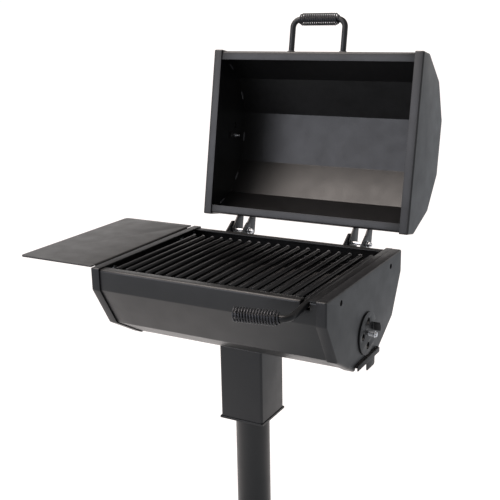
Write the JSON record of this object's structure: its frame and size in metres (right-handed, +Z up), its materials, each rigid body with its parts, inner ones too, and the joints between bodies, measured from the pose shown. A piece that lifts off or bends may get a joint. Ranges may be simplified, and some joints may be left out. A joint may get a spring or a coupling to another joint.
{
  "type": "smoker grill",
  "caption": "Faceted sheet-steel smoker grill on a round post: hinged lid, lifting bar grate, side shelf, round dampers, pull-out ash tray and spring-grip handles.",
  "frame": {"origin": "centre of the base plate's underside, on the post's axis, at ground level", "axes": "+Z up along the post, -Y towards the cook at the front, +X towards the draft end with the ash tray; the shelf is at -X and the lid opens towards +Y"},
  "size_m": [0.889, 0.9016, 1.4548],
  "materials": {
    "coat_dark": "satin black powder coat",
    "coat_plate": "satin dark grey powder coat, end plates",
    "coat_warm": "satin dark powder coat on folded sheet",
    "coat_bar": "satin black powder coat on round bar",
    "grip_wire": "blackened spring wire",
    "zinc": "bright zinc plate",
    "tray_steel": "black coat, dusty"
  },
  "bodies": {
    "post": {"base_plate": "coat_dark", "post_pipe": "coat_dark", "post_cap": "coat_dark"},
    "head": {"sleeve": "coat_dark", "sleeve_bearing": "coat_dark", "sleeve_guides": "coat_dark", "firebox_shell": "coat_warm", "firebox_end_left": "coat_plate", "firebox_end_right": "coat_plate", "grate_rails": "coat_bar", "grate_keepers": "coat_bar", "firebox_ears": "coat_dark", "hinge_bolts": "zinc", "hinge_washers": "zinc", "hinge_nuts": "zinc", "shelf": "coat_warm", "shelf_bolts": "zinc", "shelf_nuts": "zinc", "draft_bolt": "zinc", "draft_spring": "zinc", "draft_washer": "zinc", "draft_nut": "zinc"},
    "draft": {"draft_disc": "coat_plate"},
    "tray": {"ash_tray": "tray_steel"},
    "grate": {"grate_bars": "coat_bar", "grate_rods": "coat_bar", "grate_handle_bar": "coat_bar", "grate_grip": "grip_wire"},
    "lid": {"lid_shell": "coat_warm", "lid_end_left": "coat_plate", "lid_end_right": "coat_plate", "lid_ears": "coat_dark", "lid_handle": "coat_dark", "lid_grip": "grip_wire", "vent_bolt": "zinc", "vent_spring": "zinc", "vent_washer": "zinc", "vent_nut": "zinc"},
    "vent": {"vent_disc": "coat_plate"}
  },
  "joints": [
    {"name": "head_swivel", "type": "hinge", "parent": "post", "child": "head", "pos_m": [0, 0, 0.6], "axis": [0, 0, 1], "continuous": true},
    {"name": "lid_hinge", "type": "hinge", "parent": "head", "child": "lid", "pos_m": [0, 0.2736, 0.857], "axis": [-1, 0, 0], "range_deg": [-101, 0]},
    {"name": "grate_lift", "type": "hinge", "parent": "head", "child": "grate", "pos_m": [0, 0.152, 0.8422], "axis": [-1, 0, 0], "range_deg": [0, 60]},
    {"name": "tray_slide", "type": "slide", "parent": "head", "child": "tray", "axis": [1, 0, 0], "range_m": [0, 0.5]},
    {"name": "draft_turn", "type": "hinge", "parent": "head", "child": "draft", "pos_m": [0.318, 0, 0.717], "axis": [1, 0, 0], "continuous": true},
    {"name": "vent_turn", "type": "hinge", "parent": "lid", "child": "vent", "pos_m": [-0.314, 0.47943, 1.09571], "axis": [-1, 0, 0], "continuous": true}
  ]
}
